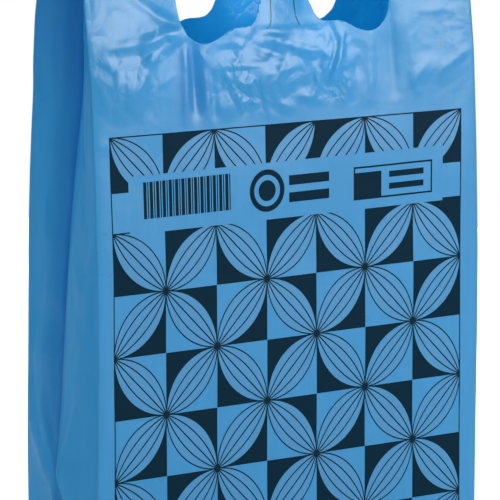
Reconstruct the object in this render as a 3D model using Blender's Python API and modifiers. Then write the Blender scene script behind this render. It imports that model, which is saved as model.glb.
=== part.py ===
"""Plastic carrier bag: one tube of blown film with a folded gusset at each side.

The tube is sealed across its base and its top, and a neck is cut through front and
back, which leaves two handles and a centre tab. The bag stands open on its base.
Metres, +Z up. The origin is the middle of the base, and the front faces -Y.
"""
import math

import bmesh
import bpy

# Sizes of the flat bag
PANEL_WIDTH = 0.300      # front and back, fold to fold
GUSSET_HALF = 0.040      # a side gusset from its fold to its crease
NECK_HEIGHT = 0.340      # base to the lowest point of the neckline
HANDLE_RISE = 0.160      # that point to the top of the handles
HANDLE_WIDTH = 0.067     # a handle, from the outer fold to its inner edge
TAB_WIDTH = 0.028        # centre tab
TAB_HEIGHT = 0.052       # tab above the neckline
TAB_ROUND = 0.006        # corners of the tab's top
DIE_SHIFT = 0.002        # the neck is cut this far right of the film's middle
FILM = 0.0008            # wall, thickened from film of 0.025 mm so that it is a solid

# How the bag stands
BASE_HALF_DEPTH = 0.035  # half of the flat base, front to back
BODY_HALF_DEPTH = 0.039  # half of the body
NECK_HALF_DEPTH = 0.0318 # half of the mouth at the neckline's height
BASE_ROUND = 0.018       # height over which the walls curve into the base
BASE_INSET = 0.004       # the base's ends stand in from the folds above it
TUCK_HEIGHT = 0.069      # top of the tuck where each gusset folds in over the base
TUCK_DEPTH = 0.030       # how far the tuck reaches in at the base
TUCK_HALF_WIDTH = 0.018  # half of the tuck's width at the base
BELLY = 0.001            # the panels curve out by this at mid height
BACK_DENT = 0.0135       # the back sinks in by this at the neckline
LEAN = 0.010             # the handles lean this far to the left
SWAY = 0.0016            # and the body this far to the right

# Seals
SEAL_HEIGHT = 0.008      # top seal, up the handles
SEAL_MARGIN = 0.0003     # the seal stands this much proud of the plies in it
BASE_SEAL = 0.010        # width of the seal along the base

COLOUR = (0.079, 0.301, 0.640)  # mid blue film
PANEL_COLUMNS = 30

TOP = NECK_HEIGHT + HANDLE_RISE
HALF_WIDTH = PANEL_WIDTH / 2
FOLD = 2.2 * FILM        # a folded edge is this wide, so two plies keep a gap
HANDLE_INNER = HALF_WIDTH - HANDLE_WIDTH
FILM_TOP = TOP - SEAL_HEIGHT / 2
CENTRING = (LEAN - BASE_INSET + SEAL_MARGIN) / 2  # puts the whole box over the origin

# Creases pressed into front and back: two ends, each as a distance from the middle
# and a height below the neckline, then the height and half width of the ridge.
CREASES = (
    ((0.083, -0.012), (0.140, 0.012), 0.0030, 0.010),
    ((0.083, -0.012), (0.128, 0.048), -0.0024, 0.010),
    ((0.080, -0.008), (0.100, 0.058), 0.0026, 0.009),
    ((0.078, 0.000), (0.074, 0.052), -0.0028, 0.008),
    ((0.062, 0.008), (0.062, 0.044), 0.0024, 0.008),
    ((0.082, -0.012), (0.112, -0.045), -0.0024, 0.009),
    ((0.000, 0.002), (0.045, 0.012), 0.0022, 0.009),
)


# The neckline from tab to handle: shares of the way across, and of the tab's height up
NECK_CURVE = (
    (0.0, 0.62), (0.049, 0.442), (0.087, 0.337), (0.12, 0.242), (0.181, 0.177),
    (0.261, 0.156), (0.391, 0.154), (0.478, 0.115), (0.551, 0.062), (0.638, 0.015),
    (0.725, -0.004), (0.812, 0.017), (0.872, 0.067), (0.92, 0.125), (0.954, 0.212),
    (0.975, 0.327), (0.986, 0.48), (0.993, 0.77),
)


def clear_scene():
    for thing in list(bpy.data.objects):
        bpy.data.objects.remove(thing, do_unlink=True)


def spaced(start, end, count):
    """Heights from start up to, but not including, end."""
    return [start + (end - start) * i / count for i in range(count)]


def smooth(t):
    t = min(max(t, 0.0), 1.0)
    return t * t * (3 - 2 * t)


def eased(keys, z):
    """The value at height z between (height, value) keys, eased from key to key."""
    for (z0, v0), (z1, v1) in zip(keys, keys[1:]):
        if z <= z1:
            return v0 + (v1 - v0) * smooth((z - z0) / (z1 - z0))
    return keys[-1][1]


def half_depth(z):
    """Half of the bag's depth at its folds."""
    return eased(((0, BASE_HALF_DEPTH), (BASE_ROUND, BODY_HALF_DEPTH),
                  (TUCK_HEIGHT, BODY_HALF_DEPTH), (NECK_HEIGHT, NECK_HALF_DEPTH),
                  (NECK_HEIGHT + HANDLE_RISE * 0.35, NECK_HALF_DEPTH * 0.92),
                  (FILM_TOP, FOLD * 1.5)), z)


def lean(z):
    """How far the film at height z stands right of the middle."""
    return CENTRING + eased((
        (0, 0), (TUCK_HEIGHT, 0), (NECK_HEIGHT * 0.5, SWAY), (NECK_HEIGHT * 0.76, 0),
        (NECK_HEIGHT, -LEAN * 0.43), (NECK_HEIGHT + HANDLE_RISE * 0.2, -LEAN * 0.8),
        (NECK_HEIGHT + HANDLE_RISE * 0.5, -LEAN), (FILM_TOP, -LEAN)), z)


def crease_inset(z):
    """How far the middle of a gusset stands in from the folds."""
    if z < TUCK_HEIGHT:
        return TUCK_DEPTH * (1 - z / TUCK_HEIGHT) - BASE_INSET * z / TUCK_HEIGHT
    depth = half_depth(z)
    folded = math.sqrt(max(GUSSET_HALF ** 2 - depth ** 2, 0))
    share = eased(((TUCK_HEIGHT, 0), (NECK_HEIGHT * 0.41, 0.03),
                   (NECK_HEIGHT * 0.69, 0.33), (NECK_HEIGHT, 0.74),
                   (NECK_HEIGHT + HANDLE_RISE * 0.2, 0.86),
                   (NECK_HEIGHT + HANDLE_RISE * 0.4, 0.96), (FILM_TOP, 1)), z)
    return folded * share - BASE_INSET * (1 - smooth((z - TUCK_HEIGHT) / TUCK_HEIGHT))


def ridge(px, pz, crease):
    """The height of one crease at a point of a panel."""
    (x0, drop0), (x1, drop1), height, width = crease
    ax, az = x0, NECK_HEIGHT - drop0
    bx, bz = x1 - x0, drop0 - drop1
    along = ((px - ax) * bx + (pz - az) * bz) / (bx * bx + bz * bz)
    near = min(max(along, 0.0), 1.0)
    away = math.hypot(px - ax - near * bx, pz - az - near * bz)
    return height * (1 - 0.6 * near) * math.exp(-(away / width) ** 2)


def panel_bow(x, z, back):
    """How far a panel stands out from the straight line between its folds."""
    middle = math.cos(math.pi * x / PANEL_WIDTH) ** 2
    bow = eased(((0, 0), (NECK_HEIGHT * 0.4, BELLY), (NECK_HEIGHT * 0.7, BELLY),
                 (NECK_HEIGHT, 0), (FILM_TOP, 0)), z) * middle
    if back:
        bow -= middle ** 2 * eased((
            (0, 0), (NECK_HEIGHT * 0.7, 0), (NECK_HEIGHT, BACK_DENT),
            (NECK_HEIGHT + HANDLE_RISE * 0.4, BACK_DENT * 0.88), (FILM_TOP, 0)), z)
    open_share = (half_depth(z) - FOLD * 1.5) / NECK_HALF_DEPTH
    folds = sum(ridge(abs(x), z, crease) for crease in CREASES)
    return bow + folds * min(max(open_share, 0), 1) * smooth(middle * 12)


def half_section(z, back):
    """Points of a left gusset's half and its panel, from the crease to the far fold."""
    depth = half_depth(z)
    side = HALF_WIDTH - BASE_INSET * (1 - smooth(z / BASE_ROUND))
    inset = crease_inset(z)
    crease = (-side + inset, -FOLD / 2)
    fold = (-side, -depth + FOLD)
    if z < TUCK_HEIGHT:
        share = 1 - z / TUCK_HEIGHT
        lip = (-side - BASE_INSET * (1 - share) / 2, -FOLD - TUCK_HALF_WIDTH * share)
    else:
        part = 0.05 + 0.3 * smooth((z - TUCK_HEIGHT) / TUCK_HEIGHT)
        lip = tuple(c + (f - c) * part for c, f in zip(crease, fold))
    middle = ((lip[0] + fold[0]) / 2, (lip[1] + fold[1]) / 2)
    points = [crease, lip, middle, fold]
    for i in range(PANEL_COLUMNS + 1):
        x = side * (2 * i / PANEL_COLUMNS - 1)
        points.append((x, -depth - panel_bow(x, z, back)))
    return points + [(-x, y) for x, y in reversed(points[:4])]


def section(z):
    """The whole tube at height z: left crease, front, right crease, back."""
    ring = half_section(z, False) + [(-x, -y) for x, y in half_section(z, True)]
    return [(x + lean(z), y) for x, y in ring]


def heights():
    return (spaced(0, BASE_ROUND, 3) + spaced(BASE_ROUND, TUCK_HEIGHT, 3)
            + spaced(TUCK_HEIGHT, TUCK_HEIGHT * 2, 2)
            + spaced(TUCK_HEIGHT * 2, NECK_HEIGHT * 0.8, 4)
            + spaced(NECK_HEIGHT * 0.8, NECK_HEIGHT + HANDLE_RISE * 0.3, 12)
            + spaced(NECK_HEIGHT + HANDLE_RISE * 0.3, FILM_TOP, 6) + [FILM_TOP])


def build_tube():
    """The film's middle surface, a loft of unlike sections, closed by its base."""
    bm = bmesh.new()
    lift = FILM / 2
    rings = [[bm.verts.new((x, y, z + lift)) for x, y in section(z)] for z in heights()]
    count = len(rings[0])
    for low, high in zip(rings, rings[1:]):
        for i in range(count):
            j = (i + 1) % count
            bm.faces.new((low[i], low[j], high[j], high[i]))

    # The base folds in from front and back to the seal, which runs crease to crease.
    base = rings[0]
    half = count // 2
    for start in (0, half):
        ring = [base[(start + i) % count] for i in range(half)]
        left, right = ring[0], ring[-1]
        bm.faces.new(list(reversed(ring)))
        if start == 0:
            front_ends = (left, right)
        else:
            bm.faces.new((front_ends[0], right, left, front_ends[1]))
    bmesh.ops.recalc_face_normals(bm, faces=bm.faces)
    mesh = bpy.data.meshes.new("carrier_bag")
    bm.to_mesh(mesh)
    bm.free()
    return bpy.data.objects.new("carrier_bag", mesh)


def box(name, low, high):
    bm = bmesh.new()
    bmesh.ops.create_cube(bm, size=1)
    for vert in bm.verts:
        for axis in range(3):
            vert.co[axis] = low[axis] if vert.co[axis] < 0 else high[axis]
    mesh = bpy.data.meshes.new(name)
    bm.to_mesh(mesh)
    bm.free()
    return bpy.data.objects.new(name, mesh)


def neck_outline():
    """What the neck cut takes out, as a closed outline in x and z."""
    tab = TAB_WIDTH / 2
    reach = HANDLE_INNER - tab
    tab_top = NECK_HEIGHT + TAB_HEIGHT
    half = [(0, tab_top)]
    for step in range(5):
        turn = math.pi / 2 * (1 - step / 4)
        half.append((tab - TAB_ROUND * (1 - math.cos(turn)),
                     tab_top - TAB_ROUND * (1 - math.sin(turn))))
    half += [(tab + reach * across, NECK_HEIGHT + TAB_HEIGHT * up)
             for across, up in NECK_CURVE]
    half += [(HANDLE_INNER, tab_top + (TOP + SEAL_HEIGHT - tab_top) * i / 3)
             for i in range(4)]
    outline = half[1:] + [(-x, z) for x, z in reversed(half)]
    return [(x + DIE_SHIFT + lean(z), z) for x, z in outline]


def neck_cutter():
    """The outline as a flat filled curve, thick enough to cut front and back."""
    curve = bpy.data.curves.new("neck_cut", "CURVE")
    curve.dimensions = "2D"
    curve.fill_mode = "BOTH"
    curve.extrude = BODY_HALF_DEPTH * 1.5
    outline = neck_outline()
    spline = curve.splines.new("POLY")
    spline.points.add(len(outline) - 1)
    for point, (x, z) in zip(spline.points, outline):
        point.co = (x, z, 0, 1)
    spline.use_cyclic_u = True
    drawn = bpy.data.objects.new("neck_cut_curve", curve)
    drawn.rotation_euler = (math.pi / 2, 0, 0)
    bpy.context.scene.collection.objects.link(drawn)
    bpy.context.view_layer.update()
    evaluated = drawn.evaluated_get(bpy.context.evaluated_depsgraph_get())
    mesh = bpy.data.meshes.new_from_object(evaluated)
    bm = bmesh.new()
    bm.from_mesh(mesh)
    bmesh.ops.remove_doubles(bm, verts=bm.verts, dist=0.00001)
    bmesh.ops.recalc_face_normals(bm, faces=bm.faces)
    bm.to_mesh(mesh)
    bm.free()
    cutter = bpy.data.objects.new("neck_cut", mesh)
    cutter.matrix_world = drawn.matrix_world.copy()
    bpy.data.objects.remove(drawn, do_unlink=True)
    return cutter


def film_material():
    material = bpy.data.materials.new("blue_film")
    material.use_nodes = True
    shader = material.node_tree.nodes["Principled BSDF"]
    shader.inputs["Base Color"].default_value = (*COLOUR, 1)
    shader.inputs["Roughness"].default_value = 0.28
    shader.inputs["Metallic"].default_value = 0.0
    return material


def add_boolean(thing, operand, operation):
    boolean = thing.modifiers.new(operand.name, "BOOLEAN")
    boolean.operation = operation
    boolean.solver = "EXACT"
    boolean.object = operand


def main():
    clear_scene()
    parts = bpy.data.collections.new("carrier_bag")
    cutters = bpy.data.collections.new("cutters")
    for collection in (parts, cutters):
        bpy.context.scene.collection.children.link(collection)

    bag = build_tube()
    bag.data.materials.append(film_material())
    parts.objects.link(bag)
    wall = bag.modifiers.new("film", "SOLIDIFY")
    wall.thickness = FILM
    wall.offset = 0
    wall.use_even_offset = True
    wall.use_quality_normals = True

    plies = FOLD * 1.5 + FILM / 2 + SEAL_MARGIN
    reach = HALF_WIDTH + FILM / 2 + SEAL_MARGIN
    middle = lean(FILM_TOP)
    top_seal = box("top_seal", (middle - reach, -plies, TOP - SEAL_HEIGHT),
                   (middle + reach, plies, TOP))
    seal_end = HALF_WIDTH - BASE_INSET - TUCK_DEPTH
    base_seal = box("base_seal", (lean(0) - seal_end, -BASE_SEAL / 2, FILM / 2),
                    (lean(0) + seal_end, BASE_SEAL / 2, FILM * 2))
    neck = neck_cutter()
    for operand, operation in ((top_seal, "UNION"), (base_seal, "UNION"),
                               (neck, "DIFFERENCE")):
        operand.hide_render = True
        operand.display_type = "WIRE"
        cutters.objects.link(operand)
        add_boolean(bag, operand, operation)


main()
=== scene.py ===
# Plastic carrier bag: one tube of thin blue film, printed, sealed and die-cut while
# flat, then opened out. The script follows the same order: it makes the flat film, cuts
# the neck, and then folds every point of the film to its place on the standing bag.
import math
import random

import bmesh
import bpy
import numpy as np
from mathutils import Matrix, Vector, noise


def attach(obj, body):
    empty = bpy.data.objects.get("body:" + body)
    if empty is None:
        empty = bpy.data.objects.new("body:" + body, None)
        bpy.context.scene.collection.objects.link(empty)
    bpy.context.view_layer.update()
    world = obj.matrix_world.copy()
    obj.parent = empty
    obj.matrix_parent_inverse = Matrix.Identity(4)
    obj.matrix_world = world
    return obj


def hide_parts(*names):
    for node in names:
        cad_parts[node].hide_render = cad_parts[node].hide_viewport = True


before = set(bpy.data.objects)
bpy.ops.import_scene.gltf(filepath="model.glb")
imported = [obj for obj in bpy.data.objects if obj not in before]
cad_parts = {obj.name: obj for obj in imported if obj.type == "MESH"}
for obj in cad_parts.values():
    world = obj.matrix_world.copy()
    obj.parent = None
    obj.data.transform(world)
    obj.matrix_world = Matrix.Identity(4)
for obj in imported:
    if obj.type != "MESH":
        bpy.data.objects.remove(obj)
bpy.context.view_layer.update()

# Metres. The film lies flat as back half, gusset, front, gusset, back half.
bag = {
    "panelWidth": 0.300,
    "gussetHalf": 0.040,
    "height": 0.500,
    "baseReach": 0.035,       # film that lies under the bag, from its edge to the seal
    "baseSealEnd": 0.116,
    "baseMeets": 0.992,       # the film ends this share of the way in to the middle
    "footRound": (0.018, 0.004),    # the sides draw in at the foot: height, how far
    "film": 0.0002,           # thicker than the real film, so that it has two sides
    "frontColumns": 150,
    "backColumns": 80,
    "gussetColumns": 14,
    "foldColumn": 0.0012,     # a narrow column beside each fold keeps it crisp
    "rowsFrom": (0, 0.070, 0.284, 0.396),
    "rows": (8, 22, 56, 58, 26),    # under the base, and then up from each height
    "calm": (0.43, 0.49),     # creases fade out between these heights, up to the seals
}

# Each row is a height and a value there, both in metres: how far front and back stand
# from the middle plane, how far the bag leans to the right, how far the gusset's crease
# is folded in, and how far the middle of the back sinks in.
shape = {
    "front": ((0, -0.0360), (0.006, -0.0392), (0.020, -0.0408), (0.071, -0.0390),
              (0.360, -0.0279), (0.400, -0.0262), (0.440, -0.0170), (0.470, -0.0062),
              (0.492, -0.0010)),
    "back": ((0, 0.0335), (0.006, 0.0362), (0.020, 0.0375), (0.047, 0.0385),
             (0.095, 0.0411), (0.137, 0.0423), (0.184, 0.0432), (0.209, 0.0430),
             (0.233, 0.0418), (0.258, 0.0404), (0.283, 0.0378), (0.308, 0.0346),
             (0.325, 0.0338), (0.340, 0.0309), (0.355, 0.0280), (0.370, 0.0238),
             (0.400, 0.0180), (0.440, 0.0096), (0.470, 0.0036), (0.492, 0.0010)),
    "lean": ((0, 0.0034), (0.070, 0.0037), (0.137, 0.0047), (0.190, 0.0049),
             (0.260, 0.0032), (0.280, 0.0024), (0.322, 0.0006), (0.340, -0.0011),
             (0.360, -0.0031), (0.372, -0.0040), (0.400, -0.0046), (0.440, -0.0056),
             (0.492, -0.0062)),
    "inset": ((0, 0.030), (0.069, -0.0062), (0.073, -0.0056), (0.095, -0.0030),
              (0.118, -0.0013), (0.163, 0.0012), (0.194, 0.0036), (0.235, 0.0068),
              (0.275, 0.0112), (0.306, 0.0152), (0.349, 0.0188), (0.372, 0.0222),
              (0.400, 0.0265), (0.440, 0.0345), (0.470, 0.0385), (0.492, 0.0397)),
    "dent": ((0, 0), (0.047, 0.0010), (0.095, 0.0026), (0.137, 0.0030), (0.184, 0.0040),
             (0.209, 0.0038), (0.240, 0.0026), (0.283, 0.0028), (0.308, 0.0034),
             (0.325, 0.0072), (0.340, 0.0087), (0.355, 0.0071), (0.370, 0.0036),
             (0.400, 0), (0.492, 0)),
}

# Creases pressed into the front: two ends (from the middle, height), how far the
# ridge stands out and its half width, all in millimetres.
frontCreases = (
    ((-150, 281), (-139, 282), 1.0, 4), ((-150, 277), (-140, 278), -0.5, 4),
    ((-78, 350), (-88, 348), 1.6, 8), ((-88, 348), (-106, 343), 2.2, 9),
    ((-106, 343), (-135, 342), 1.3, 9), ((-80, 351), (-97, 361), -1.5, 7),
    ((-97, 361), (-112, 372), -1.2, 8), ((-129, 364), (-117, 361), -0.6, 5),
    ((-82, 344), (-102, 335), 1.2, 8), ((-102, 335), (-107, 329), 1.4, 9),
    ((-107, 329), (-119, 309), 1.1, 10), ((-149, 331), (-133, 324), -0.8, 6),
    ((-78, 338), (-79, 327), 0.7, 5), ((-79, 327), (-80, 291), 0.7, 5),
    ((-68, 333), (-66, 316), 0.6, 7), ((-66, 316), (-61, 292), 0.5, 8),
    ((-73, 340), (-72, 298), -1.1, 8), ((-60, 323), (-58, 294), -0.7, 5),
    ((-69, 336), (-63, 328), 0.9, 3.5), ((-99, 316), (-89, 322), 0.5, 3),
    ((-55, 321), (-38, 312), 0.9, 6), ((-33, 306), (-25, 308), 0.6, 4),
    ((-23, 313), (-16, 293), 0.8, 5), ((-27, 316), (-21, 298), -0.7, 5),
    ((-38, 342), (-19, 334), -0.9, 5), ((-19, 334), (-1, 327), -0.9, 5),
    ((-50, 326), (-22, 324), 1.0, 8), ((-1, 327), (-20, 325), 0.6, 4),
    ((-22, 345), (3, 343), -0.8, 4), ((-12, 345), (31, 343), -0.7, 4),
    ((-13, 340), (12, 332), 1.1, 6), ((12, 332), (31, 328), 1.4, 6),
    ((45, 339), (34, 312), 1.6, 5), ((38, 336), (28, 317), 1.0, 4.5),
    ((41, 337), (31, 315), -0.9, 4), ((32, 337), (29, 328), 0.7, 4),
    ((147, 323), (124, 312), 0.6, 6), ((111, 318), (99, 304), 0.5, 6),
    ((108, 350), (135, 350), 0.5, 6), ((8, 303), (24, 298), 0.7, 5),
    ((-11, 301), (0, 295), 0.7, 5), ((-39, 298), (-31, 302), 0.5, 4),
    ((-123, 306), (-144, 304), 0.4, 5), ((83, 352), (84, 300), -0.8, 9),
    ((66, 338), (64, 296), 0.6, 9), ((96, 345), (101, 300), 0.5, 9),
)

# Broad swells of the front's upper film: middle, half width, half height, how far they
# stand out, all in millimetres. A negative one is a hollow.
frontSwells = (
    (-100, 416, 74, 104, -8.0), (116, 412, 56, 96, -3.4), (-8, 392, 44, 74, -7.0),
    (-18, 316, 34, 17, 1.6), (-126, 316, 26, 24, 2.4), (38, 320, 18, 22, 1.4),
    (-47, 300, 14, 12, 0.7), (116, 312, 26, 14, 0.5), (80, 326, 15, 40, -0.5),
    (-71, 316, 8, 30, -1.2),
)

# Soft waves of the film: their size, their height and their place in the noise.
waves = {
    "front": (0.060, 0.0007, 3.0),
    "frontCrinkled": (0.028, 0.0012, 0.0),
    "back": (0.060, 0.0014, 9.0),
    "backUpper": (0.030, 0.0010, 7.0),
    "backHanging": (0.050, 0.0024, 12.0),
    "gusset": (0.026, 0.0018, 30.0),
    "gussetUpright": (0.018, 0.0014, 20.0),
}

# Short creases at random places and angles, in metres.
crinkle = {
    "seed": 11,
    "count": 260,
    "low": 0.292,             # the front is smooth and flat below this
    "lowFade": (-0.006, 0.012),
    "high": 0.42,
    "lengths": (0.007, 0.028),
    "widths": (0.0026, 0.0070),
    "height": 0.00090,
    "plain": 0.22,            # share of the crinkles away from the patches below
    # middle, half width, half height, and share
    "patches": ((-0.132, 0.316, 0.030, 0.026, 0.62), (-0.020, 0.315, 0.044, 0.034, 1.0),
                (0.032, 0.322, 0.028, 0.030, 0.9), (0.126, 0.322, 0.034, 0.026, 0.16),
                (-0.100, 0.343, 0.030, 0.014, 0.6)),
    "patchFade": (1.25, 0.55),
    # the smooth bands that the handles' roots pull down the front
    "bandAt": 0.080,
    "bandFade": (0.020, 0.008),
    "bandTop": (0.345, 0.335),
    "bandShare": 0.85,
    "frontHem": 0.009,        # the front lies flat beside its folds for this far
    "frontRound": (0.004, 0.0004),  # and turns back at them: how far in, how deep
}

backFolds = {
    "seed": 16,
    "low": 0.27,
    "crinkleShare": 0.7,
    "crinkleFrom": (0.26, 0.32),
    "hanging": (2.4, 0.6),    # long folds hang from the neck: narrowed, lengthened
    "hangingFrom": (0.02, 0.12),
    "hem": 0.012,
}

neck = {
    "aside": 0.002,           # the die struck this far right of the film's middle
    "half": ((0.0150, 0.368), (0.0174, 0.363), (0.0200, 0.3575), (0.0223, 0.3526),
             (0.0265, 0.3492), (0.0320, 0.3481), (0.0410, 0.3480), (0.0470, 0.3460),
             (0.0520, 0.3432), (0.0580, 0.3408), (0.0640, 0.3398), (0.0700, 0.3409),
             (0.0742, 0.3435), (0.0775, 0.3465), (0.0798, 0.3510), (0.0813, 0.3570),
             (0.0820, 0.3650), (0.0825, 0.3800), (0.0830, 0.5200)),
    "tabHalf": 0.0135,
    "tabTop": 0.392,
    "tabRound": 0.006,
    "reach": 0.1,             # the cut lies within this of each panel's middle
    "low": 0.33,              # and above this height
    "beside": 0.016,          # faces farther than this from the outline stay whole
}

gusset = {
    "tuckTop": 0.069,
    "settled": 1.7,           # the gusset has its upper form from this many tuck heights
    "lip": 0.55,              # share of the way from the fold to the crease
    "lipDepth": (0.94, 0.39),  # how far in it lies above the tuck, and how much less up
    "lipOut": 0.0045,         # how far the tuck's lip stands out of the side
    "lipGap": (0.0018, 0.017),      # how far it opens at the tuck's top, and at the foot
    "bulge": 0.0016,
    "bulgeCalm": (0.38, 0.45),
    "wavesCalm": (0.40, 0.47),
    "upright": (3.0, 0.5),
    "ridgeFade": 0.125,       # share of the way from the fold to the crease
    # the ridge from the tuck to the back fold: two ends, height, half width
    "ridge": (((0.002, 0.170), (0.004, 0.125), 0.0020, 0.006),
              ((0.004, 0.125), (0.009, 0.092), 0.0034, 0.007),
              ((0.009, 0.092), (0.024, 0.055), 0.0042, 0.008)),
}

# The welds across the handles.
weld = {
    "height": 0.008,
    "half": 0.0011,           # half the thickness of the four plies
    "lap": 0.0015,            # how far down it laps over the film
    "past": 0.0002,           # and out past the folds
    "round": 0.0005,
}


def step(low, high, value):
    # eased from 0 at low to 1 at high
    t = np.clip((value - low) / (high - low), 0, 1)
    return t * t * (3 - 2 * t)


def along(heights, name):
    # the shape's value at each height, with its corners eased over 10 mm
    keys = np.array(shape[name], float)
    return sum(np.interp(heights + shift, keys[:, 0], keys[:, 1])
               for shift in (-0.005, -0.0025, 0, 0.0025, 0.005)) / 5


def halfWidth(z):
    # from the middle of a panel to its fold
    height, drawnIn = bag["footRound"]
    return bag["panelWidth"] / 2 - drawnIn * (1 - step(0, height, z))


def spread(length, count):
    # places along one panel, with a narrow column beside each fold
    narrow = bag["foldColumn"]
    inner = np.linspace(narrow, length - narrow, count - 1)
    return np.concatenate(([0], inner))


def filmColumns():
    # where each column of the flat film lies, and where its panels start
    back = (bag["panelWidth"] / 2, bag["backColumns"] // 2)
    side = (bag["gussetHalf"], bag["gussetColumns"])
    front = (bag["panelWidth"], bag["frontColumns"])
    starts, columns = [0], []
    for length, count in (back, side, side, front, side, side, back):
        columns.append(starts[-1] + spread(length, count))
        starts.append(starts[-1] + length)
    return np.concatenate(columns + [[starts[-1]]]), starts


def filmRows():
    # rows from the base seal up, closest together round the neck
    heights = (-bag["baseReach"], *bag["rowsFrom"], bag["height"] - weld["height"])
    parts = [np.linspace(low, high, count, endpoint=high == heights[-1])
             for low, high, count in zip(heights, heights[1:], bag["rows"])]
    return np.concatenate(parts)


def neckOutline():
    # the cut seen from the front: down one handle, along the neck, round the tab
    half = [Vector((x, z, 0)) for x, z in neck["half"]]
    tab, top, corner = neck["tabHalf"], neck["tabTop"], neck["tabRound"]
    points = [Vector((0, top, 0))]
    for part in range(5):
        turn = math.pi / 2 * (1 - part / 4)
        points.append(Vector((tab - corner + corner * math.cos(turn),
                              top - corner + corner * math.sin(turn), 0)))
    points += half
    # two more points on each stretch make a smooth curve
    smooth = []
    for i in range(len(points) - 1):
        before, start = points[max(i - 1, 0)], points[i]
        end, after = points[i + 1], points[min(i + 2, len(points) - 1)]
        reach = (end - start).length / 3
        smooth.append(start)
        out = (end - before).normalized() * reach
        back = (after - start).normalized() * reach
        for t in (0.33, 0.67):
            a, b = start.lerp(start + out, t), (start + out).lerp(end - back, t)
            c = (end - back).lerp(end, t)
            smooth.append(a.lerp(b, t).lerp(b.lerp(c, t), t))
    smooth.append(points[-1])
    right = [(p.x, p.y) for p in smooth]
    left = [(-x, z) for x, z in reversed(right[1:])]
    return np.array(left + right)


def insideOutline(points, outline):
    # whether each point lies in the part that the die knocks out
    inside = np.zeros(len(points), bool)
    for a, b in zip(outline, np.roll(outline, -1, axis=0)):
        crosses = (a[1] > points[:, 1]) != (b[1] > points[:, 1])
        if abs(b[1] - a[1]) > 1e-12:
            at = a[0] + (points[:, 1] - a[1]) / (b[1] - a[1]) * (b[0] - a[0])
            inside ^= crosses & (points[:, 0] < at)
    return inside


def faceSpan(face):
    # the box round a face of the flat film
    across, up = [v.co.x for v in face.verts], [v.co.y for v in face.verts]
    return min(across), max(across), min(up), max(up)


def cutNeck(bm, starts):
    # the film is sliced along each short side of the outline, and the inside goes
    outline = neckOutline()
    panels = ((starts[3] + bag["panelWidth"] / 2, 1), (0, -1), (starts[-1], -1))
    for centre, side in panels:
        places = outline * (side, 1) + (centre + side * neck["aside"], 0)
        beside = [f for f in bm.faces
                  if abs(f.verts[0].co.x - centre) < neck["reach"]
                  and f.verts[0].co.y > neck["low"]]
        middles = np.array([f.calc_center_median()[:2] for f in beside])
        dense = np.concatenate([places[:-1] + (places[1:] - places[:-1]) * t
                                for t in (0, 0.25, 0.5, 0.75)])
        away = np.hypot(middles[:, :1] - dense[:, 0], middles[:, 1:] - dense[:, 1])
        spans = {f: faceSpan(f) for f, gap in zip(beside, away.min(1))
                 if gap < neck["beside"]}
        for (x0, z0), (x1, z1) in zip(places[:-1], places[1:]):
            left, right, foot, top = min(x0, x1), max(x0, x1), min(z0, z1), max(z0, z1)
            near = [f for f, (a, b, c, d) in spans.items()
                    if b > left and a < right and d > foot and c < top]
            geom = near + list({e for f in near for e in f.edges}) \
                + list({v for f in near for v in f.verts})
            across = Vector((z1 - z0, x0 - x1, 0)).normalized()
            cut = bmesh.ops.bisect_plane(bm, geom=geom, dist=0.00003,
                                         plane_co=(x0, z0, 0), plane_no=across)
            changed = set(near)
            for part in cut["geom_cut"]:
                changed.update(part.link_faces)
            spans.update({f: faceSpan(f) for f in changed})
        chosen = list({f for f in beside if f.is_valid} | set(spans))
        middles = np.array([f.calc_center_median()[:2] for f in chosen])
        gone = insideOutline(middles, places)
        bmesh.ops.delete(bm, geom=[f for f, out in zip(chosen, gone) if out],
                         context="FACES")


def ridges(x, z, creases):
    # the summed height of many creases, each with a sharp ridge and soft flanks
    total = np.zeros_like(x)
    for (x0, z0), (x1, z1), height, width in creases:
        dx, dz = x1 - x0, z1 - z0
        reach = dx * dx + dz * dz
        t = ((x - x0) * dx + (z - z0) * dz) / reach
        near = np.clip(t, 0, 1)
        away = np.hypot(x - x0 - near * dx, z - z0 - near * dz)
        flank = np.clip(1 - away / width, 0, 1)
        total += height * flank * flank * (0.55 + 0.45 * np.sin(math.pi * near))
    return total


def randomCreases(seed, lowest):
    # short creases at any angle
    pick = random.Random(seed)
    half = bag["panelWidth"] / 2
    made = []
    for _ in range(crinkle["count"]):
        x, z = pick.uniform(-half, half), pick.uniform(lowest, crinkle["high"])
        turn = pick.uniform(0, math.pi)
        length = pick.uniform(*crinkle["lengths"]) / 2
        dx, dz = math.cos(turn) * length, math.sin(turn) * length
        height = crinkle["height"] * pick.uniform(-1, 1)
        made.append(((x - dx, z - dz), (x + dx, z + dz), height,
                     pick.uniform(*crinkle["widths"])))
    return made


def broadSwells(x, z):
    # the summed height of the broad swells
    total = np.zeros_like(x)
    for midX, midZ, halfX, halfZ, height in frontSwells:
        away = np.hypot((x * 1000 - midX) / halfX, (z * 1000 - midZ) / halfZ)
        total += height / 1000 * (0.5 + 0.5 * np.cos(math.pi * np.clip(away, 0, 1)))
    return total


def softWaves(x, z, name, offset=0):
    # broad soft noise; each name has its size, height and place in the noise
    size, height, place = waves[name]
    return height * np.array([noise.noise(Vector((a / size, b / size, place + offset)))
                              for a, b in zip(x, z)])


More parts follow.
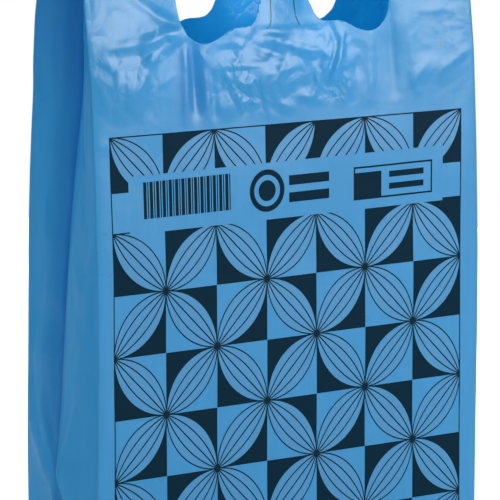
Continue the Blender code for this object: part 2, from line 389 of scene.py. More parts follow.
def crinkled(x, z):
    # how crinkled the front is at each place, from 0 to 1
    share = np.full_like(x, crinkle["plain"])
    for midX, midZ, halfX, halfZ, most in crinkle["patches"]:
        away = np.hypot((x - midX) / halfX, (z - midZ) / halfZ)
        share = np.maximum(share, most * step(*crinkle["patchFade"], away))
    bands = step(*crinkle["bandFade"], np.abs(np.abs(x) - crinkle["bandAt"])) \
        * step(*crinkle["bandTop"], z)
    low, high = (crinkle["low"] + shift for shift in crinkle["lowFade"])
    return share * (1 - crinkle["bandShare"] * bands) * step(low, high, z)


def frontRelief(x, z):
    # how far the front stands out of its plane
    placed = [((a / 1000, b / 1000), (c / 1000, d / 1000), h / 1000, w / 1000)
              for (a, b), (c, d), h, w in frontCreases]
    share = crinkled(x, z)
    relief = ridges(x, z, placed) + broadSwells(x, z)
    relief += ridges(x, z, randomCreases(crinkle["seed"], crinkle["low"])) * share
    relief += softWaves(x, z, "frontCrinkled") * share
    relief += softWaves(x, z, "front")
    fade = 1 - step(*bag["calm"], z)
    edge = bag["panelWidth"] / 2 - np.abs(x)
    inward, deep = crinkle["frontRound"]
    return relief * fade * step(0, crinkle["frontHem"], edge) - deep * step(inward, 0, edge)


def backRelief(x, z):
    # how far the back stands out of its plane
    edge = bag["panelWidth"] / 2 - np.abs(x)
    fade = (1 - step(*bag["calm"], z)) * step(0, backFolds["hem"], edge)
    small = ridges(x, z, randomCreases(backFolds["seed"], backFolds["low"]))
    upper = (small * backFolds["crinkleShare"] + softWaves(x, z, "backUpper")) \
        * step(*backFolds["crinkleFrom"], z)
    narrowed, lengthened = backFolds["hanging"]
    hanging = softWaves(x * narrowed, z * lengthened, "backHanging") \
        * step(*backFolds["hangingFrom"], z)
    return (upper + hanging + softWaves(x, z, "back")) * fade


def gussetRelief(s, z, way, t):
    # soft upright folds, and the ridge that runs from the tuck to the back fold
    narrowed, lengthened = gusset["upright"]
    upright = softWaves(s * narrowed, z * lengthened, "gussetUpright", way)
    soft = softWaves(s, z, "gusset", way)
    across = s if way == -1 else 2 * bag["gussetHalf"] - s
    pinned = np.sin(math.pi * np.clip(t, 0, 1)) ** 0.5
    return (upright + soft) * pinned * (1 - step(*gusset["wavesCalm"], z)) \
        + ridges(across, z, gusset["ridge"]) * np.clip(t / gusset["ridgeFade"], 0, 1)


def gussetPlace(t, z, front):
    # t runs from the fold (0) to the crease (1); the tuck opens a lip at its foot
    ends = along(z, "front" if front else "back")
    middle = (along(z, "front") + along(z, "back")) / 2
    inset = along(z, "inset")
    tucked = np.clip(1 - z / gusset["tuckTop"], 0, 1)
    raised = step(gusset["tuckTop"], gusset["tuckTop"] * gusset["settled"], z)
    lipLow, lipLess = gusset["lipDepth"]
    depth = lipLow - lipLess * raised
    way = -1 if front else 1
    gapTop, gapFoot = gusset["lipGap"]
    lipX = np.where(tucked > 0, -gusset["lipOut"] * (1 - tucked), inset * depth)
    lipY = np.where(tucked > 0, middle + way * (gapTop + gapFoot * tucked),
                    ends + (middle - ends) * depth)
    lip = gusset["lip"]
    first = t < lip
    u = np.where(first, t / lip, (t - lip) / (1 - lip))
    x = np.where(first, lipX * u, lipX + (inset - lipX) * u)
    y = np.where(first, ends + (lipY - ends) * u, lipY + (middle - lipY) * u)
    bulge = gusset["bulge"] * np.sin(math.pi * np.clip(t, 0, 1)) * raised
    return halfWidth(z) - x + bulge * (1 - step(*gusset["bulgeCalm"], z)), y


def foldFilm(flat, starts):
    # the whole film, from its flat place to its place on the open bag
    s, v = flat[:, 0], flat[:, 1]
    z = np.maximum(v, 0)
    side = halfWidth(z)
    x, y = np.zeros_like(s), np.zeros_like(s)
    width, depth = bag["panelWidth"], bag["gussetHalf"]

    front = (s >= starts[3]) & (s <= starts[4])
    flatX = s[front] - starts[3] - width / 2
    x[front] = flatX * side[front] / (width / 2)
    y[front] = along(z[front], "front") - frontRelief(flatX, z[front])

    for part, centre in ((s <= starts[1], 0), (s >= starts[6], starts[-1])):
        flatX = centre - s[part]
        x[part] = flatX * side[part] / (width / 2)
        dent = along(z[part], "dent") * np.cos(math.pi * flatX / width) ** 4
        y[part] = along(z[part], "back") - dent + backRelief(flatX, z[part])

    # left gusset from back to front, then right gusset from front to back
    for panel, way in ((1, -1), (4, 1)):
        for half in (0, 1):
            low, high = starts[panel + half], starts[panel + half + 1]
            part = (s > low) & (s <= high) if half == 0 else (s >= low) & (s < high)
            t = (s[part] - low) / depth
            t = t if half == 0 else 1 - t
            isFront = (way == -1) == (half == 1)
            gx, gy = gussetPlace(t, z[part], isFront)
            relief = gussetRelief(s[part] - starts[panel], z[part], way, t)
            x[part], y[part] = way * (gx + relief), gy
    x += along(z, "lean")

    # below the edge of the base the film runs in flat, nearly to the middle
    under = np.clip(-v / bag["baseReach"], 0, 1)
    goal = np.clip(x, -bag["baseSealEnd"], bag["baseSealEnd"])
    x = x + (goal - x) * under
    y = y * (1 - bag["baseMeets"] * under)
    return np.stack([x, y, z + bag["film"] / 2], 1)


def mapPrint(bm, flat, starts):
    # the film is mapped in metres from the front's middle, upwards
    uv = bm.loops.layers.uv.new("filmFlat")
    middle = starts[3] + bag["panelWidth"] / 2
    lean = along(np.maximum(flat[:, 1], 0), "lean")
    bm.verts.index_update()
    for face in bm.faces:
        for loop in face.loops:
            across, up = flat[loop.vert.index]
            loop[uv].uv = (across - middle + lean[loop.vert.index], up)


# Where the film looks crumpled, and where painted shade darkens it. A fade is where it
# starts and where it is full; heights and distances are in metres.
marks = {
    "gussetCrumple": 0.22,
    "backCrumple": 0.5,
    "backCrumpleFrom": (0.27, 0.33),
    "shadeBesideCrease": ((0.030, 0.002), 0.55),   # on the gusset's back half: fade, share
    "shadeOnCrease": ((0.0025, 0.0), 0.5),
    "creaseShadeFrom": (0.02, 0.10),
    # painted shade, darker towards the gussets' top: fade, share
    "shadeAtGussetTop": ((0.27, 0.38), 0.30),
    "shadedBandAt": -0.074,         # where painted shade darkens the smooth film below the left handle's root
    # painted shade on that band: fade, share
    "pull": ((0.020, 0.004), 0.34),
    "shadedBandTop": (0.348, 0.334),
    "shadedBandFoot": (0.282, 0.305),
}


def paintedShadeShare(s, z, starts, onFront, onGusset):
    # painted shade: darker on and beside each gusset's crease (most on its back half),
    # towards the gussets' top, and on the smooth band below the left handle's root
    fromCrease = np.minimum(np.abs(s - starts[2]), np.abs(s - starts[5]))
    backHalf = (s < starts[2]) | (s > starts[5])
    besideFade, besideShare = marks["shadeBesideCrease"]
    creaseFade, creaseShare = marks["shadeOnCrease"]
    topShadeFade, topShadeShare = marks["shadeAtGussetTop"]
    shadedBandFade, shadedBandShare = marks["pull"]
    deep = step(*besideFade, fromCrease) * np.where(backHalf, besideShare, 0)
    deep += step(*creaseFade, fromCrease) * creaseShare
    deep = deep * step(*marks["creaseShadeFrom"], z) + topShadeShare * step(*topShadeFade, z)
    # painted shade on the smooth band below the left handle's root
    fromShadedBand = np.abs(s - starts[3] - bag["panelWidth"] / 2 - marks["shadedBandAt"])
    pulled = step(*shadedBandFade, fromShadedBand) * shadedBandShare \
        * step(*marks["shadedBandTop"], z) * step(*marks["shadedBandFoot"], z)
    return deep * onGusset + pulled * onFront


def markFilm(bm, flat, starts):
    # shares from 0 to 1 that the material reads at each point
    s, z = flat[:, 0], flat[:, 1]
    onFront = (s >= starts[3]) & (s <= starts[4])
    onGusset = ((s > starts[1]) & (s < starts[3])) | ((s > starts[4]) & (s < starts[6]))
    middle = starts[3] + bag["panelWidth"] / 2
    onBack = marks["backCrumple"] * step(*marks["backCrumpleFrom"], z)
    shares = {
        "crumpled": np.where(onFront, crinkled(s - middle, z),
                             np.where(onGusset, marks["gussetCrumple"], onBack)),
        "slack": onGusset.astype(float),
        # the share of painted shade at each point
        "deep": paintedShadeShare(s, z, starts, onFront, onGusset),
    }
    for name, values in shares.items():
        layer = bm.verts.layers.float.new(name)
        for v, value in zip(bm.verts, values):
            v[layer] = value


def buildFilm():
    columns, starts = filmColumns()
    rows = filmRows()
    bm = bmesh.new()
    bmesh.ops.create_grid(bm, x_segments=len(columns) - 1, y_segments=len(rows) - 1,
                          size=0.5)
    for v in bm.verts:
        column = round((v.co.x + 0.5) * (len(columns) - 1))
        row = round((v.co.y + 0.5) * (len(rows) - 1))
        v.co = (columns[column], rows[row], 0)
    print("flat film:", len(bm.verts), "points")

    cutNeck(bm, starts)
    loose = [v for v in bm.verts if not v.link_faces]
    bmesh.ops.delete(bm, geom=loose, context="VERTS")
    print("neck cut")

    flat = np.array([v.co[:2] for v in bm.verts])
    mapPrint(bm, flat, starts)
    markFilm(bm, flat, starts)
    for v, place in zip(bm.verts, foldFilm(flat, starts)):
        v.co = place
    bmesh.ops.remove_doubles(bm, verts=bm.verts, dist=0.00002)
    footEdges = [e for e in bm.edges if e.is_boundary
                 and max(v.co.z for v in e.verts) < bag["film"]]
    bmesh.ops.holes_fill(bm, edges=footEdges, sides=0)
    bmesh.ops.recalc_face_normals(bm, faces=bm.faces)
    mesh = bpy.data.meshes.new("bagFilm")
    bm.to_mesh(mesh)
    bm.free()
    mesh.shade_smooth()
    film = bpy.data.objects.new("bag_film", mesh)
    bpy.context.scene.collection.objects.link(film)
    wall = film.modifiers.new("film", "SOLIDIFY")
    wall.thickness = bag["film"]
    wall.offset = 0
    print("film folded:", len(mesh.polygons), "faces")
    return film


def topSeal(side):
    # the four plies welded into one flat strip across a handle
    inner, outer = neck["half"][-1][0], bag["panelWidth"] / 2 + weld["past"]
    lean = shape["lean"][-1][1]
    low = Vector((side * inner + lean + neck["aside"], -weld["half"],
                  bag["height"] - weld["height"] - weld["lap"]))
    high = Vector((side * outer + lean, weld["half"], bag["height"]))
    bm = bmesh.new()
    bmesh.ops.create_cube(bm, size=1)
    centre, size = (low + high) / 2, high - low
    bmesh.ops.scale(bm, vec=(abs(size.x), size.y, size.z), verts=bm.verts)
    bmesh.ops.translate(bm, vec=centre, verts=bm.verts)
    bmesh.ops.bevel(bm, geom=bm.edges[:], offset=weld["round"], offset_type="OFFSET",
                    segments=2, profile=0.5, affect="EDGES", material=-1)
    mesh = bpy.data.meshes.new("topSeal")
    bm.to_mesh(mesh)
    bm.free()
    mesh.shade_smooth()
    seal = bpy.data.objects.new("top_seal_" + ("left" if side < 0 else "right"), mesh)
    bpy.context.scene.collection.objects.link(seal)
    return seal


def linear(hexColour):
    # sRGB hex to the linear colour that the shader takes
    parts = [int(hexColour[i:i + 2], 16) / 255 for i in (1, 3, 5)]
    return [c / 12.92 if c <= 0.04045 else ((c + 0.055) / 1.055) ** 2.4
            for c in parts] + [1]


def addNode(tree, kind, inputs=None, **settings):
    # a node with its settings, its values and its links
    made = tree.nodes.new(kind)
    for name, value in settings.items():
        setattr(made, name, value)
    for socket, value in (inputs or {}).items():
        if isinstance(value, bpy.types.NodeSocket):
            tree.links.new(value, made.inputs[socket])
        else:
            made.inputs[socket].default_value = value
    return made


def times(tree, value, factor):
    # the product of two values, or of a value and a number
    return addNode(tree, "ShaderNodeMath", {0: value, 1: factor},
                   operation="MULTIPLY").outputs[0]


def tinted(tree, share, below, above):
    # a colour with a share of another one over it
    return addNode(tree, "ShaderNodeMix", {0: share, 6: below, 7: linear(above)},
                   data_type="RGBA").outputs[2]


def softNoise(tree, place, scale, detail):
    return addNode(tree, "ShaderNodeTexNoise",
                   {"Vector": place, "Scale": scale, "Detail": detail}).outputs


def noiseBetween(tree, place, scale, detail, least, most):
    # nearly all of the noise lies between 0.3 and 0.7
    soft = softNoise(tree, place, scale, detail)[0]
    return addNode(tree, "ShaderNodeMapRange",
                   {0: soft, 1: 0.3, 2: 0.7, 3: least, 4: most}).outputs[0]


filmLook = {
    "film": "#389ED0",
    "through": "#2AACD4",     # the light that comes through it
    "clear": 0.50,            # how much does
    # the colour of the painted shade, and of the light that comes through the film there
    "deep": "#0A71B4",
    "shadedThrough": "#0A7DC4",
    "slackDull": 0.62,        # how much of the slack gussets' gloss is gone
    "rough": (0.27, 0.31),
    "cloudScale": 26.0,       # the gloss changes over about 40 mm
    "dieLineScale": (220, 220, 6),  # lines about 4.5 mm apart up the tube
    "dieLineShade": (0.96, 1.03),
    "ripple": (60.0, 0.0003),  # scale (17 mm apart) and depth of the fine ripple
    # facets between sharp creases, 16 and 7 mm across: scale and depth
    "crumples": ((62.0, 0.0027), (150.0, 0.0006)),
    "crumplePatches": (26.0, 0.42, 0.60, 0.25),     # scale, fade, and least share
    "crumplePush": (35.0, 0.012),   # how the creases are bent: scale, how far
}

# Places in the print are in cells, across from its left and down from its top.
printLook = {
    "ink": "#06141F",
    "inkCover": 0.94,
    "petal": "#6F9CB8",
    "petalShare": 0.25,
    "cell": 0.039,            # one square of the print, in metres
    "left": -0.13335,
    "top": 0.2874,
    "columns": 7,
    "strip": 0.885,
    "block": 1.55,
    "label": (0.33, 6.62, 0.66, 1.585),     # left, right, top, foot
    "line": 0.0105,           # half as wide as a line
    "veinAt": 1.659,          # the veins are struck from this far outside the cell
    "veinRadius": 1.785,
    "eye": 0.055,
    "stretch": (-0.030, 0.066),
    "slant": (-0.0095, -0.019),
    # a few cells at the right break the rule; each is its row times ten and its column
    "upperTurned": (6, 15, 16, 46),
    "lowerTurned": (5, 6, 36),
    "stripes": 8.2,           # pairs of stripes to a cell
    "thick": 0.50,
    "thin": (0.74, 0.09),
    "ringAt": (3.02, 1.11),
    "ringBand": (0.30, 0.045),
    "ringDot": 0.17,
}

# Plain boxes on the label: name, left, right, top and foot.
labelBoxes = (
    ("stripeBox", 0.61, 2.30, 0.77, 1.36), ("bandA", 3.46, 4.27, 0.90, 1.06),
    ("bandB", 3.46, 4.27, 1.18, 1.34), ("frameOut", 4.77, 6.40, 0.88, 1.43),
    ("frameIn", 4.80, 6.37, 0.91, 1.40), ("corner", 4.77, 5.34, 0.98, 1.43),
    ("lineA", 5.50, 6.22, 1.00, 1.10), ("lineB", 5.50, 6.22, 1.20, 1.30),
)

# The perforations beside the tab, painted as thin dark lines of shade where the film is
# cut: two ends each, world X and height in millimetres.
tabSlits = (((-9.8, 366), (-10.6, 352.5)), ((-10.6, 351.5), (-12.2, 347)),
            ((-13.6, 346.4), (-13.9, 346.2)), ((6.2, 366), (7.0, 353.5)),
            ((7.2, 352.5), (9.7, 347)))
slitLook = {"half": 0.00045, "shade": 0.55}


def mathSteps(tree, values, steps):
    # each step is a name, an operation, and what it works on
    for name, operation, *terms in steps:
        inputs = {i: values.get(term, term) for i, term in enumerate(terms)}
        values[name] = addNode(tree, "ShaderNodeMath", inputs,
                               operation=operation).outputs[0]
    return values


def joined(name, operation, first, *others):
    # the steps that join many values, two at a time
    steps = []
    for i, other in enumerate(others):
        made = name if i == len(others) - 1 else f"{name}{i}"
        steps.append((made, operation, first, other))
        first = made
    return steps


def printNodes(tree):
    # flexo print in one dark ink: petals in a square grid, a top strip, a label band
    look = printLook
    uv = addNode(tree, "ShaderNodeUVMap", uv_map="filmFlat")
    parts = addNode(tree, "ShaderNodeSeparateXYZ", {0: uv.outputs[0]})
    values = {"x": parts.outputs[0], "z": parts.outputs[1],
              "upOdd": 0, "lowOdd": 0, "slit": 0}
    line, halfway, veinAt = look["line"], look["columns"] / 2, look["veinAt"]
    left, right, top, foot = look["label"]
    steps = [
        ("fromLeft", "SUBTRACT", "x", look["left"]),
        ("uTrue", "DIVIDE", "fromLeft", look["cell"]),
        ("fromTop", "SUBTRACT", look["top"], "z"),
        ("v", "DIVIDE", "fromTop", look["cell"]),
        # the film stretched a little in the press: more to the left, and up there
        ("pull", "MULTIPLY_ADD", "v", *look["stretch"]),
        ("pullUp", "MAXIMUM", "pull", 0),
        ("pullLeft", "MULTIPLY_ADD", "uTrue", -1 / look["columns"], 1),
        ("pulled", "MULTIPLY", "pullUp", "pullLeft"),
        ("u", "ADD", "uTrue", "pulled"),
        ("slant", "MULTIPLY_ADD", "u", *look["slant"]),
        ("stripV", "ADD", "v", "slant"),
        ("inStrip", "LESS_THAN", "stripV", look["strip"]),
        ("inBlock", "GREATER_THAN", "v", look["block"]),
        ("blockV", "SUBTRACT", "v", look["block"]),
        ("column", "FLOOR", "u"),
        ("across", "FRACT", "u"),
        ("rowBlock", "FLOOR", "blockV"),
        ("downBlock", "FRACT", "blockV"),
        ("notStrip", "SUBTRACT", 1, "inStrip"),
        ("row", "MULTIPLY", "rowBlock", "notStrip"),
        ("downA", "MULTIPLY", "stripV", "inStrip"),
        ("down", "MULTIPLY_ADD", "downBlock", "notStrip", "downA"),
        ("shifted", "GREATER_THAN", "column", halfway),
        ("shiftedStrip", "MULTIPLY", "shifted", "inStrip"),
        ("sumA", "ADD", "column", "row"),
        ("sumB", "ADD", "sumA", "shiftedStrip"),
        ("slope", "FLOORED_MODULO", "sumB", 2),
        ("columnOdd", "FLOORED_MODULO", "column", 2),
        # in a cell that slopes the other way the pattern is mirrored
        ("mirrored", "SUBTRACT", 1, "across"),
        ("straight", "SUBTRACT", 1, "slope"),
        ("acrossA", "MULTIPLY", "mirrored", "slope"),
        ("c", "MULTIPLY_ADD", "across", "straight", "acrossA"),
        ("thirdOff", "COMPARE", "column", 3, 0.4),
        ("sixthOff", "COMPARE", "column", 6, 0.4),
        *joined("lowStrip", "MAXIMUM", "thirdOff", "sixthOff", "straight"),
        ("columnEven", "SUBTRACT", 1, "columnOdd"),
        ("cellIndex", "MULTIPLY_ADD", "rowBlock", 10, "column"),
    ]
    for name, cells in (("upOdd", look["upperTurned"]), ("lowOdd", look["lowerTurned"])):
        for cell in cells:
            steps += [("isCell", "COMPARE", "cellIndex", cell, 0.5),
                      (name, "MAXIMUM", name, "isCell")]
    steps += [
        ("upBlockA", "SUBTRACT", "columnOdd", "upOdd"),
        ("upBlock", "ABSOLUTE", "upBlockA"),
        ("lowBlockA", "SUBTRACT", "columnEven", "lowOdd"),
        ("lowBlock", "ABSOLUTE", "lowBlockA"),
        ("upA", "MULTIPLY", "slope", "inStrip"),
        ("upDark", "MULTIPLY_ADD", "upBlock", "notStrip", "upA"),
        ("lowA", "MULTIPLY", "lowStrip", "inStrip"),
        ("lowDark", "MULTIPLY_ADD", "lowBlock", "notStrip", "lowA"),
    ]
    # distances to the centres that the petal's edges and veins are struck from
    arcs = (("up", 1, 0), ("low", 0, 1), ("upVein", veinAt, 1 - veinAt),
            ("lowVein", 1 - veinAt, veinAt), ("start", 0, 0), ("end", 1, 1))
    for name, centreX, centreY in arcs:
        steps += [(name + "X", "SUBTRACT", "c", centreX),
                  (name + "Y", "SUBTRACT", "down", centreY),
                  (name + "XX", "MULTIPLY", name + "X", name + "X"),
                  (name + "Sum", "MULTIPLY_ADD", name + "Y", name + "Y", name + "XX"),
                  (name + "Arc", "SQRT", name + "Sum")]
    steps += [
        ("inUp", "LESS_THAN", "upArc", 1),
        ("inLow", "LESS_THAN", "lowArc", 1),
        ("petal", "MULTIPLY", "inUp", "inLow"),
        ("outUp", "GREATER_THAN", "lowArc", 1),
        ("outLow", "GREATER_THAN", "upArc", 1),
        ("fillUp", "MULTIPLY", "outUp", "upDark"),
        ("fillLow", "MULTIPLY", "outLow", "lowDark"),
        ("edgeUp", "COMPARE", "upArc", 1, line),
        ("edgeLow", "COMPARE", "lowArc", 1, line),
        ("off", "SUBTRACT", "c", "down"),
        ("vein0", "COMPARE", "off", 0, line * 1.5),
        ("vein1", "COMPARE", "upVeinArc", look["veinRadius"], line),
        ("vein2", "COMPARE", "lowVeinArc", look["veinRadius"], line),
        *joined("veinLines", "MAXIMUM", "vein0", "vein1", "vein2"),
        ("veins", "MULTIPLY", "veinLines", "petal"),
        ("eyeA", "LESS_THAN", "startArc", look["eye"]),
        ("eyeB", "LESS_THAN", "endArc", look["eye"]),
        *joined("cells", "MAXIMUM", "fillUp", "fillLow", "edgeUp", "edgeLow", "veins",
                "eyeA", "eyeB"),
        ("printed", "MAXIMUM", "inStrip", "inBlock"),
        # the thin frame round the whole print
        ("fromMiddle", "SUBTRACT", "u", halfway),
        ("sideways", "ABSOLUTE", "fromMiddle"),
        ("within", "LESS_THAN", "sideways", halfway + line),
        ("below", "GREATER_THAN", "stripV", -line),
        ("area", "MULTIPLY", "within", "below"),
        ("frameSide", "COMPARE", "sideways", halfway, line),
        ("frameTop", "COMPARE", "stripV", 0, line),
        ("frameStrip", "COMPARE", "v", look["block"], line),
        *joined("frame", "MAXIMUM", "frameSide", "frameTop", "frameStrip"),
        # the plain label box lies over strip and block
        ("boxLeft", "GREATER_THAN", "u", left),
        ("boxRight", "LESS_THAN", "u", right),
        ("boxTop", "GREATER_THAN", "v", top),
        ("boxFoot", "LESS_THAN", "v", foot),
        *joined("box", "MULTIPLY", "boxLeft", "boxRight", "boxTop", "boxFoot"),
        ("notBox", "SUBTRACT", 1, "box"),
        ("printedCells", "MULTIPLY", "cells", "printed"),
        ("framedCells", "MAXIMUM", "printedCells", "frame"),
        *joined("pattern", "MULTIPLY", "framedCells", "notBox", "area"),
        *joined("petalTint", "MULTIPLY", "petal", "printed", "notBox", "area"),
        # even stripes, thick and thin by turns, and a plain ring with a dot
        ("stripeWay", "MULTIPLY", "u", look["stripes"]),
        ("stripeShare", "FRACT", "stripeWay"),
        ("thick", "LESS_THAN", "stripeShare", look["thick"]),
        ("thin", "COMPARE", "stripeShare", *look["thin"]),
        ("stripes", "MAXIMUM", "thick", "thin"),
        ("ringX", "SUBTRACT", "u", look["ringAt"][0]),
        ("ringY", "SUBTRACT", "v", look["ringAt"][1]),
        ("ringXX", "MULTIPLY", "ringX", "ringX"),
        ("ringSum", "MULTIPLY_ADD", "ringY", "ringY", "ringXX"),
        ("ringAway", "SQRT", "ringSum"),
        ("ringBand", "COMPARE", "ringAway", *look["ringBand"]),
        ("ringDot", "LESS_THAN", "ringAway", look["ringDot"]),
    ]
    for name, boxLeft, boxRight, boxTop, boxFoot in labelBoxes:
        middleU, middleV = (boxLeft + boxRight) / 2, (boxTop + boxFoot) / 2
        steps += [(name + "U", "COMPARE", "u", middleU, (boxRight - boxLeft) / 2),
                  (name + "V", "COMPARE", "v", middleV, (boxFoot - boxTop) / 2),
                  (name, "MULTIPLY", name + "U", name + "V")]
    steps += [
        ("stripeBlock", "MULTIPLY", "stripeBox", "stripes"),
        ("outline", "SUBTRACT", "frameOut", "frameIn"),
        *joined("ink", "MAXIMUM", "pattern", "stripeBlock", "ringBand", "ringDot",
                "bandA", "bandB", "outline", "corner", "lineA", "lineB"),
    ]
    # a slit is painted dark within its half width of the line between its ends, as the
    # shade in the cut
    for (x0, z0), (x1, z1) in tabSlits:
        x0, z0, x1, z1 = x0 / 1000, z0 / 1000, x1 / 1000, z1 / 1000
        dx, dz = x1 - x0, z1 - z0
        reach = dx * dx + dz * dz
        steps += [
            ("slitX", "SUBTRACT", "x", x0), ("slitZ", "SUBTRACT", "z", z0),
            ("slitA", "MULTIPLY", "slitX", dx / reach),
            ("slitB", "MULTIPLY_ADD", "slitZ", dz / reach, "slitA"),
            ("slitC", "MAXIMUM", "slitB", 0), ("slitT", "MINIMUM", "slitC", 1),
            ("slitD", "MULTIPLY_ADD", "slitT", -dx, "slitX"),
            ("slitE", "MULTIPLY_ADD", "slitT", -dz, "slitZ"),
            ("slitF", "MULTIPLY", "slitD", "slitD"),
            ("slitG", "MULTIPLY_ADD", "slitE", "slitE", "slitF"),
            ("slitH", "LESS_THAN", "slitG", slitLook["half"] ** 2),
            ("slit", "MAXIMUM", "slit", "slitH")]
    return mathSteps(tree, values, steps)


def crumpleHeight(tree, place):
    # sharp creases between flat facets, above the print only
    pushScale, push = filmLook["crumplePush"]
    warp = softNoise(tree, place, pushScale, 2.0)["Color"]
    pushed = addNode(tree, "ShaderNodeVectorMath", {0: warp, 1: (push,) * 3, 2: place},
                     operation="MULTIPLY_ADD")
    heights = []
    for scale, height in filmLook["crumples"]:
        facets = addNode(tree, "ShaderNodeTexVoronoi",
                         {"Vector": pushed.outputs[0], "Scale": scale},
                         feature="DISTANCE_TO_EDGE")
        heights.append(times(tree, facets.outputs[0], height))
    both = addNode(tree, "ShaderNodeMath", {0: heights[0], 1: heights[1]})
    patchScale, low, high, least = filmLook["crumplePatches"]
    patches = softNoise(tree, place, patchScale, 1.0)[0]
    patchy = addNode(tree, "ShaderNodeMapRange",
                     {0: patches, 1: low, 2: high, 3: least, 4: 1.0},
                     interpolation_type="SMOOTHSTEP")
    crumpled = addNode(tree, "ShaderNodeAttribute", attribute_name="crumpled")
    share = times(tree, crumpled.outputs["Fac"], patchy.outputs[0])
    return times(tree, both.outputs[0], share)


def filmMaterial(printed):
    # Blown polyethylene film: satin gloss that turns crisp on creases, slightly
    # see-through, with faint die lines that run up the tube.
    look = filmLook
    material = bpy.data.materials.new("blownPolyethyleneFilm" if printed
                                      else "weldedPolyethyleneFilm")
    material.use_nodes = True
    tree = material.node_tree
    tree.nodes.clear()
    place = addNode(tree, "ShaderNodeTexCoord").outputs["Object"]
    lines = addNode(tree, "ShaderNodeMapping",
                    {"Vector": place, "Scale": look["dieLineScale"]})
    shade = noiseBetween(tree, lines.outputs[0], 1.0, 2.0, *look["dieLineShade"])
    colour = addNode(tree, "ShaderNodeMix", {0: 1.0, 6: linear(look["film"]), 7: shade},
                     data_type="RGBA", blend_type="MULTIPLY").outputs[2]
    behind = linear(look["through"])
    if printed:
        flat = printNodes(tree)
        # painted shade: the deep share darkens the film's colour and the light through it
        deep = addNode(tree, "ShaderNodeAttribute", attribute_name="deep").outputs["Fac"]
        colour = tinted(tree, deep, colour, look["deep"])
        behind = tinted(tree, deep, behind, look["shadedThrough"])
        petal = times(tree, flat["petalTint"], printLook["petalShare"])
        colour = tinted(tree, petal, colour, printLook["petal"])
    rough = noiseBetween(tree, place, look["cloudScale"], 3.0, *look["rough"])
    rippleScale, rippleDepth = look["ripple"]
    ripple = softNoise(tree, place, rippleScale, 3.0)[0]
    normal = addNode(tree, "ShaderNodeBump",
                     {"Height": ripple, "Strength": 1.0, "Distance": rippleDepth})
    if printed:
        normal = addNode(tree, "ShaderNodeBump",
                         {"Height": crumpleHeight(tree, place), "Strength": 1.0,
                          "Distance": 1.0, "Normal": normal.outputs[0]})
    film = addNode(tree, "ShaderNodeBsdfPrincipled",
                   {"Base Color": colour, "Roughness": rough, "IOR": 1.51,
                    "Specular IOR Level": 0.5, "Normal": normal.outputs[0]})
    through = addNode(tree, "ShaderNodeBsdfTranslucent",
                      {"Color": behind, "Normal": normal.outputs[0]})
    surface = film
    if printed:
        # the slack gussets shine less than the drawn front
        slack = addNode(tree, "ShaderNodeAttribute", attribute_name="slack")
        dull = times(tree, slack.outputs["Fac"], look["slackDull"])
        matt = addNode(tree, "ShaderNodeBsdfDiffuse",
                       {"Color": colour, "Normal": normal.outputs[0]})
        surface = addNode(tree, "ShaderNodeMixShader",
                          {0: dull, 1: film.outputs[0], 2: matt.outputs[0]})
    mixed = addNode(tree, "ShaderNodeMixShader",
                    {0: look["clear"], 1: surface.outputs[0], 2: through.outputs[0]})
    if printed:
        # dark flexo ink, matt beside the film and hardly see-through
        flexo = addNode(tree, "ShaderNodeBsdfDiffuse",
                        {"Color": linear(printLook["ink"]), "Normal": normal.outputs[0]})
        inked = times(tree, flat["ink"], printLook["inkCover"])
        # painted shade in the open cut of a perforation, as dark as thin ink
        cover = addNode(tree, "ShaderNodeMath",
                        {0: flat["slit"], 1: slitLook["shade"], 2: inked},
                        operation="MULTIPLY_ADD")
        mixed = addNode(tree, "ShaderNodeMixShader",
                        {0: cover.outputs[0], 1: mixed.outputs[0], 2: flexo.outputs[0]})
    addNode(tree, "ShaderNodeOutputMaterial", {0: mixed.outputs[0]})
    return material


studio = {
    "lens": 314.0,
    "azimuth": -36.37,
    "elevation": 10.78,
    "distance": 2.7324,
    "aim": (-0.03352, -0.0390, 0.20894),
    "roll": 1.196,
    "worldLight": 0.22,
    "floorRadius": 1.2,
    "floorPaint": "#F4F4F4",
    "floorGlow": 0.45,
    "lampAim": (0, 0, 0.25),
    # name, azimuth, elevation, distance, size, watts
    "softboxes": (("front", 38, 12.2, 2.10, 0.96, 41),
                  ("nearCamera", -52, 28, 1.8, 0.9, 12),
                  ("leftBehind", -132, 32, 1.7, 0.9, 11),
                  ("behind", 160, 35, 1.8, 1.2, 34)),
}


def towards(azimuth, elevation):
    # the way to a lamp or the camera; azimuth 0 is straight in front
    a, e = math.radians(azimuth), math.radians(elevation)
    return Vector((math.sin(a) * math.cos(e), -math.cos(a) * math.cos(e), math.sin(e)))


def addCamera():
    data = bpy.data.cameras.new("camera")
    data.lens = studio["lens"]
    data.clip_end = 50
    camera = bpy.data.objects.new("camera", data)
    out = towards(studio["azimuth"], studio["elevation"])
    turn = (-out).to_track_quat("-Z", "Y").to_matrix().to_4x4()
    turn = turn @ Matrix.Rotation(math.radians(studio["roll"]), 4, "Z")
    camera.matrix_world = Matrix.Translation(
        Vector(studio["aim"]) + out * studio["distance"]) @ turn
    bpy.context.scene.collection.objects.link(camera)
    bpy.context.scene.camera = camera


def addSoftbox(name, azimuth, elevation, distance, size, watts):
    data = bpy.data.lights.new(name, "AREA")
    data.shape = "SQUARE"
    data.size = size
    data.energy = watts
    lamp = bpy.data.objects.new(name, data)
    out = towards(azimuth, elevation)
    lamp.matrix_world = Matrix.Translation(Vector(studio["lampAim"]) + out * distance) @ \
        (-out).to_track_quat("-Z", "Y").to_matrix().to_4x4()
    bpy.context.scene.collection.objects.link(lamp)


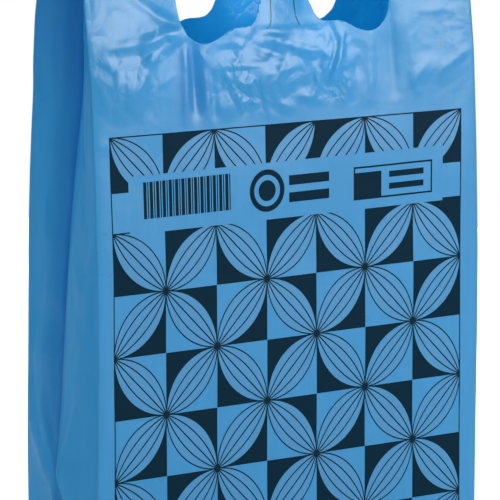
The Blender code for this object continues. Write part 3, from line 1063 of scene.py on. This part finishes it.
def cameraShare(tree):
    # 1 where the camera looks, straight or by way of a reflection
    rays = addNode(tree, "ShaderNodeLightPath").outputs
    seen = addNode(tree, "ShaderNodeMath",
                   {0: rays["Is Camera Ray"], 1: rays["Is Transmission Ray"]},
                   operation="MAXIMUM")
    return addNode(tree, "ShaderNodeMath",
                   {0: seen.outputs[0], 1: rays["Is Glossy Ray"]},
                   operation="MAXIMUM").outputs[0]


def floorMaterial():
    # matt white paint; it looks white to the camera and still takes the bag's shadow
    material = bpy.data.materials.new("mattWhitePaint")
    material.use_nodes = True
    tree = material.node_tree
    tree.nodes.clear()
    glow = times(tree, cameraShare(tree), studio["floorGlow"])
    paint = addNode(tree, "ShaderNodeBsdfDiffuse", {"Color": linear(studio["floorPaint"])})
    white = addNode(tree, "ShaderNodeEmission", {"Color": (1, 1, 1, 1), "Strength": glow})
    both = addNode(tree, "ShaderNodeAddShader", {0: paint.outputs[0], 1: white.outputs[0]})
    addNode(tree, "ShaderNodeOutputMaterial", {0: both.outputs[0]})
    return material


def addStudio():
    world = bpy.data.worlds.new("whiteStudio")
    bpy.context.scene.world = world
    world.use_nodes = True
    tree = world.node_tree
    tree.nodes.clear()
    strength = addNode(tree, "ShaderNodeMapRange",
                       {0: cameraShare(tree), 1: 0.0, 2: 1.0, 3: studio["worldLight"],
                        4: 1.0})
    sky = addNode(tree, "ShaderNodeBackground",
                  {"Color": (1, 1, 1, 1), "Strength": strength.outputs[0]})
    addNode(tree, "ShaderNodeOutputWorld", {0: sky.outputs[0]})

    bm = bmesh.new()
    bmesh.ops.create_circle(bm, cap_ends=True, segments=96,
                            radius=studio["floorRadius"])
    mesh = bpy.data.meshes.new("floor")
    bm.to_mesh(mesh)
    bm.free()
    floor = bpy.data.objects.new("floor", mesh)
    bpy.context.scene.collection.objects.link(floor)
    floor.data.materials.append(floorMaterial())

    for softbox in studio["softboxes"]:
        addSoftbox(*softbox)


addCamera()
addStudio()
film = buildFilm()
film.data.materials.append(filmMaterial(True))
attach(film, "root")
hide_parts("carrier_bag")
plain = filmMaterial(False)
for side in (-1, 1):
    seal = topSeal(side)
    seal.data.materials.append(plain)
    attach(seal, "root")
bpy.context.scene.view_settings.view_transform = "Standard"
print("materials and lights set")
